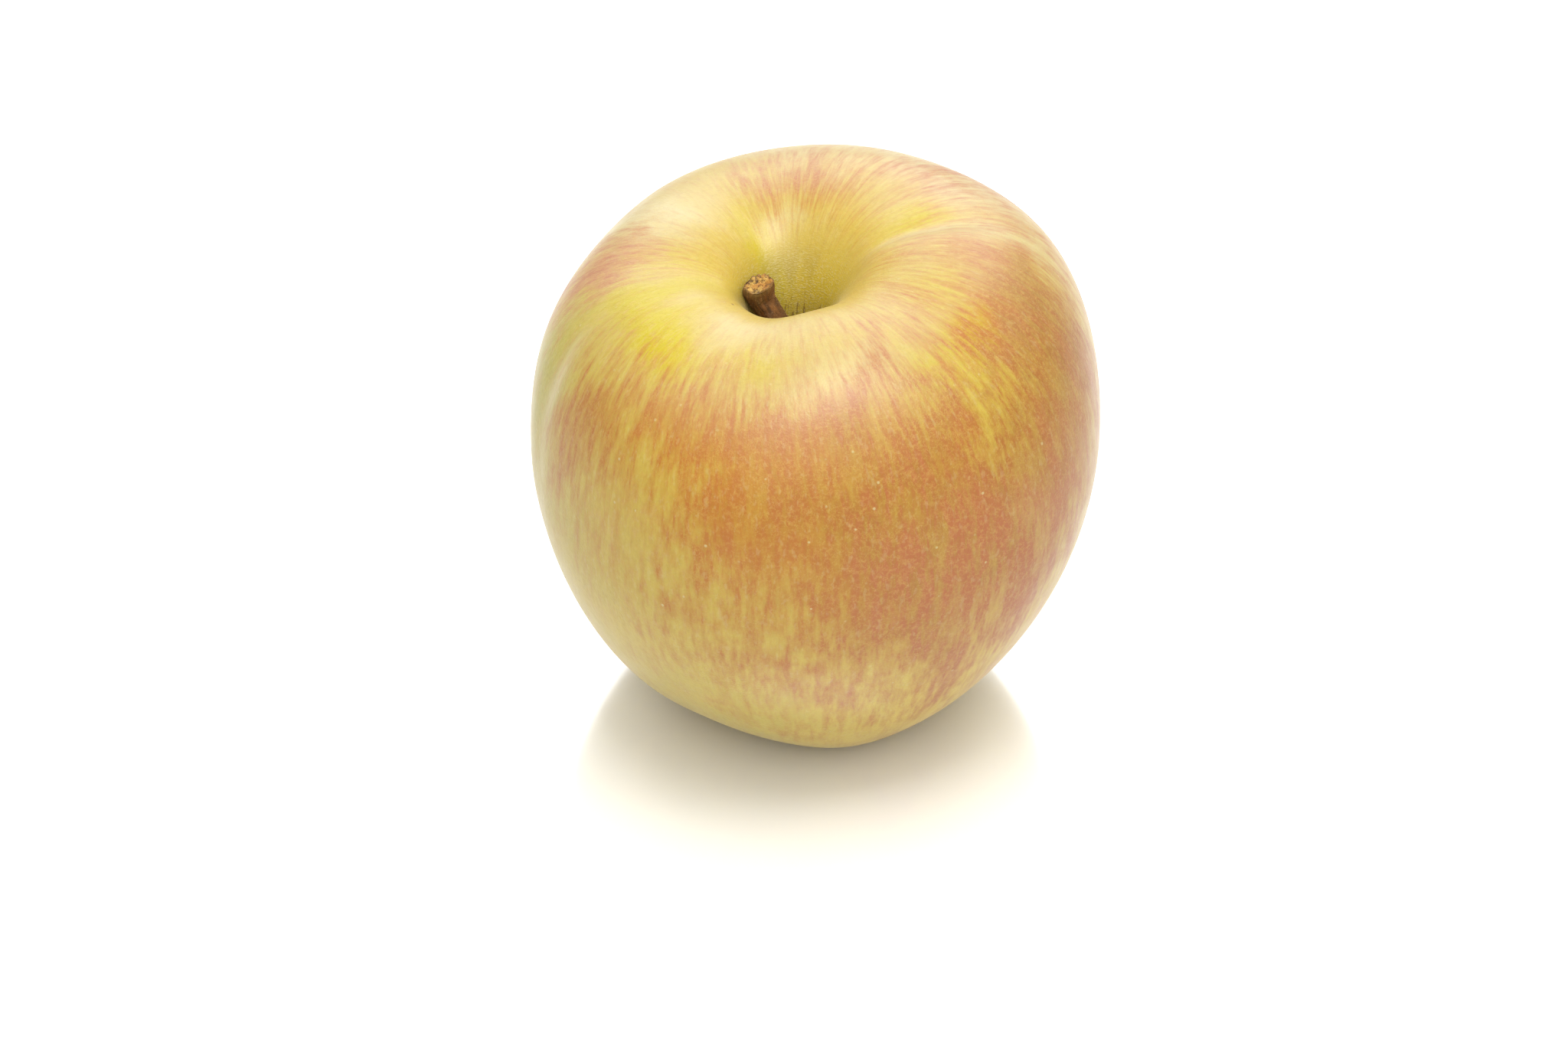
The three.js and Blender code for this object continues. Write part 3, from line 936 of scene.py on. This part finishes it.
def hair_finish():
    """Pale hairs that turn brown in places."""
    finish = Finish("apple_stem_hair")
    shade = finish.clouds(finish.place(), 900.0)
    straw, brown = (0.5, 0.36, 0.18), (0.3, 0.17, 0.06)
    tint = finish.mixed(shade, straw, brown)
    return finish.ends_in({"Base Color": tint, "Roughness": 0.7})


class APPLE_OT_grow_stem(bpy.types.Operator):
    """Grow the stem: a leaning woody stalk with fine hairs and a broken end"""

    bl_idname = "apple.grow_stem"
    bl_label = "Grow Stem"
    bl_options = {"REGISTER", "UNDO"}

    def execute(self, context):
        sizes = context.scene.apple_stem
        mesh, spine = stem_mesh(sizes, context.scene.apple_fruit)
        settle(show(mesh, stem_finish(sizes)), "stem", "stem")
        hairs = show(stem_hairs(sizes, spine), hair_finish())
        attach(hairs, "root")
        return {"FINISHED"}


# ---------------------------------------------------------------- the calyx


def sepal_rings(sizes, fruit, index):
    """A thin dried blade that hangs out of the pit, curls outward and is cupped along it."""
    _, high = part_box("stamen_tuft")
    chance = np.random.default_rng(20 + index)
    root, top = fruit.calyx_radius - sizes.sepal_thickness, high.z
    droop = sizes.sepal_length
    flare = sizes.sepal_flare * chance.uniform(0.7, 1.15)
    spine = (
        (root, 0, top),
        (root, 0, top - 0.5 * droop),
        (root, 0, top - 0.88 * droop),
        (root + flare, 0.3 * MM * chance.normal(), top - 0.86 * droop),
    )
    around, rows = 28, 44
    turn = np.linspace(0, 2 * math.pi, around, endpoint=False)[None, :]
    along = np.concatenate([[0.0], np.linspace(0, 1, rows), [1.0]])[:, None]
    inward = np.concatenate([[0.0], np.ones(rows), [0.0]])[:, None]
    half_width = sizes.sepal_width / 2 * (1 - 0.93 * along**1.5)
    half_thick = sizes.sepal_thickness / 2 * (1 - 0.6 * along)
    across = half_width * np.cos(turn) * inward
    through = half_thick * np.sin(turn) * inward
    cupped = -0.18 * across**2 / sizes.sepal_width * 2
    points = beside_spine(spine, along * np.ones_like(turn), through + cupped, across)
    crumple = grain(points / MM, 0.8, index) * 0.16 + grain(points / MM, 2.6, index) * 0.05
    points = points + (crumple * inward * along * MM)[..., None] * np.array([1.0, 0.4, 0.6])
    turned = index / SEPALS * 2 * math.pi
    spin = np.array(Matrix.Rotation(turned, 3, "Z"))
    return points @ spin.T + (AXIS.x, AXIS.y, 0)


def dry_finish(name, main, light):
    """Dried brown plant skin, felted and wrinkled."""
    finish = Finish(name)
    place = finish.place()
    wrinkles = finish.clouds(place, 900.0, 4.0, 0.6)
    felt = finish.clouds(place, 5000.0, 2.0, 0.5)
    tint = finish.mixed(finish.ease(wrinkles, 0.3, 0.7), main, light)
    felted = (0.42, 0.34, 0.24)
    tint = finish.mixed(finish.ease(felt, 0.55, 0.75) * 0.4, tint, felted)
    relief = finish.bumped(wrinkles + felt * 0.3, 0.3 * MM, 0.7)
    return finish.ends_in({
        "Base Color": tint,
        "Roughness": finish.ease(felt, 0.3, 0.7, 0.75, 0.95),
        "Normal": relief,
    })


class APPLE_OT_grow_sepals(bpy.types.Operator):
    """Grow the five dried sepals round the calyx"""

    bl_idname = "apple.grow_sepals"
    bl_label = "Grow Sepals"
    bl_options = {"REGISTER", "UNDO"}

    def execute(self, context):
        sizes = context.scene.apple_calyx
        light = tuple(part * 1.9 for part in sizes.dry)
        material = dry_finish("apple_sepal", sizes.dry, light)
        for index in range(SEPALS):
            name = f"sepal_{index + 1}"
            rings = sepal_rings(sizes, context.scene.apple_fruit, index)
            mesh = closed_mesh(name + "_blade", rings)
            settle(show(mesh, material), "sepal", name)
        return {"FINISHED"}


def stamen_rings(sizes):
    """Dried threads that hang in the pit, bent and crossing, as rings for each."""
    low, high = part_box("stamen_tuft")
    chance = np.random.default_rng(5)
    spread = (high.x - low.x) / 2
    golden_turn = 2.4
    threads = []
    for index in range(sizes.stamens):
        turn = index * golden_turn
        out = spread * math.sqrt((index + 0.5) / sizes.stamens)
        way = np.array([math.cos(turn), math.sin(turn), 0.0])
        foot = np.array([AXIS.x, AXIS.y, high.z + 0.2 * MM]) + way * out * 0.55
        drop = (high.z - low.z) * chance.uniform(0.7, 1.0)
        tip = foot + way * out * chance.uniform(0.1, 0.6) - (0, 0, drop)
        bow = chance.normal(0, 0.15 * MM, 3)
        threads.append(thorn(foot, tip, chance.uniform(0.09, 0.15) * MM, 7, 12, bow))
    return threads


class APPLE_OT_grow_stamens(bpy.types.Operator):
    """Grow the tuft of dried stamens in the calyx pit"""

    bl_idname = "apple.grow_stamens"
    bl_label = "Grow Stamens"
    bl_options = {"REGISTER", "UNDO"}

    def execute(self, context):
        sizes = context.scene.apple_calyx
        mesh = joined("stamen_threads", stamen_rings(sizes))
        light = tuple(part * 2.2 for part in sizes.thread)
        material = dry_finish("apple_stamen", sizes.thread, light)
        settle(show(mesh, material), "stamens", "stamen_tuft")
        return {"FINISHED"}


# ---------------------------------------------------------------- the stage


def floor_finish():
    """Plain pale board with a soft gloss."""
    finish = Finish("stage_floor")
    faint = finish.clouds(finish.place(), 3.0)
    white, grey = (0.93, 0.93, 0.92), (0.9, 0.9, 0.89)
    tint = finish.mixed(faint * 0.05, white, grey)
    return finish.ends_in({"Base Color": tint, "Roughness": 0.12, "Metallic": 0.3})


def lay_floor(sizes):
    half = sizes.floor_size / 2
    mesh = bpy.data.meshes.new("stage_floor")
    corners = [(-half, -half, 0), (half, -half, 0), (half, half, 0), (-half, half, 0)]
    mesh.from_pydata(corners, [], [(0, 1, 2, 3)])
    show(mesh, floor_finish())


def aim(thing, place, target):
    thing.location = place
    thing.rotation_euler = (Vector(target) - Vector(place)).to_track_quat("-Z", "Y").to_euler()


def hang_light(name, power, panel):
    """A soft white panel of light, facing the foot of the fruit."""
    light = bpy.data.lights.new(name, "AREA")
    light.shape = "RECTANGLE"
    light.size = panel.width
    light.size_y = panel.height
    light.energy = power
    lamp = bpy.data.objects.new(name, light)
    bpy.context.scene.collection.objects.link(lamp)
    aim(lamp, panel.place, (0, 0, 0))


def hang_lights(sizes):
    """Three panels: overhead, behind like a lit backdrop, and a broad one in front."""
    hang_light("overhead", sizes.overhead, OVERHEAD_PANEL)
    hang_light("backdrop", sizes.backdrop, BACKDROP_PANEL)
    hang_light("front", sizes.fill, FRONT_PANEL)


def paint_room(sizes):
    """The white room all round, which fills the shadows."""
    world = bpy.data.worlds.new("white_room")
    world.use_nodes = True
    background = world.node_tree.nodes["Background"]
    background.inputs["Color"].default_value = (1, 1, 1, 1)
    background.inputs["Strength"].default_value = sizes.surround
    bpy.context.scene.world = world
    bpy.context.scene.view_settings.view_transform = "Standard"


def set_camera(sizes):
    """The camera looks down on the front of the fruit, which stands a little above the middle."""
    camera = bpy.data.cameras.new("camera")
    camera.lens = sizes.lens
    camera.clip_start = 0.01
    holder = bpy.data.objects.new("camera", camera)
    bpy.context.scene.collection.objects.link(holder)
    rise = sizes.camera_height
    back = Vector((0, -math.cos(rise), math.sin(rise)))
    up = Vector((0, math.sin(rise), math.cos(rise)))
    middle = Vector((AXIS.x, AXIS.y, sizes.middle_height))
    aimed = middle - up * sizes.look_below - Vector((sizes.look_left, 0, 0))
    aim(holder, middle + back * sizes.camera_distance, aimed)
    bpy.context.scene.camera = holder


class APPLE_OT_set_stage(bpy.types.Operator):
    """Set the stage: a pale floor, a soft light, a white room and the camera"""

    bl_idname = "apple.set_stage"
    bl_label = "Set Stage"
    bl_options = {"REGISTER", "UNDO"}

    def execute(self, context):
        sizes = context.scene.apple_stage
        lay_floor(sizes)
        hang_lights(sizes)
        paint_room(sizes)
        set_camera(sizes)
        return {"FINISHED"}


class APPLE_PT_making(bpy.types.Panel):
    """The sizes and colours of the apple, and the buttons that make it"""

    bl_label = "Apple"
    bl_space_type = "VIEW_3D"
    bl_region_type = "UI"
    bl_category = "Apple"

    def draw(self, context):
        for operator in OPERATORS:
            self.layout.operator(operator.bl_idname)
        for name, group in GROUPS.items():
            box = self.layout.box()
            box.label(text=group.__doc__)
            for field in group.__annotations__:
                box.prop(getattr(context.scene, name), field)


OPERATORS = (
    APPLE_OT_grow_fruit,
    APPLE_OT_grow_stem,
    APPLE_OT_grow_sepals,
    APPLE_OT_grow_stamens,
    APPLE_OT_set_stage,
)
CLASSES = (*GROUPS.values(), *OPERATORS, APPLE_PT_making)


def register():
    for kind in CLASSES:
        bpy.utils.register_class(kind)
    for name, group in GROUPS.items():
        setattr(bpy.types.Scene, name, PointerProperty(type=group))


def unregister():
    for name in GROUPS:
        delattr(bpy.types.Scene, name)
    for kind in reversed(CLASSES):
        bpy.utils.unregister_class(kind)


def main():
    register()
    bpy.ops.apple.set_stage()
    bpy.ops.apple.grow_fruit()
    bpy.ops.apple.grow_stem()
    bpy.ops.apple.grow_sepals()
    bpy.ops.apple.grow_stamens()
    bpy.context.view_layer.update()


if __name__ == "__main__":
    main()
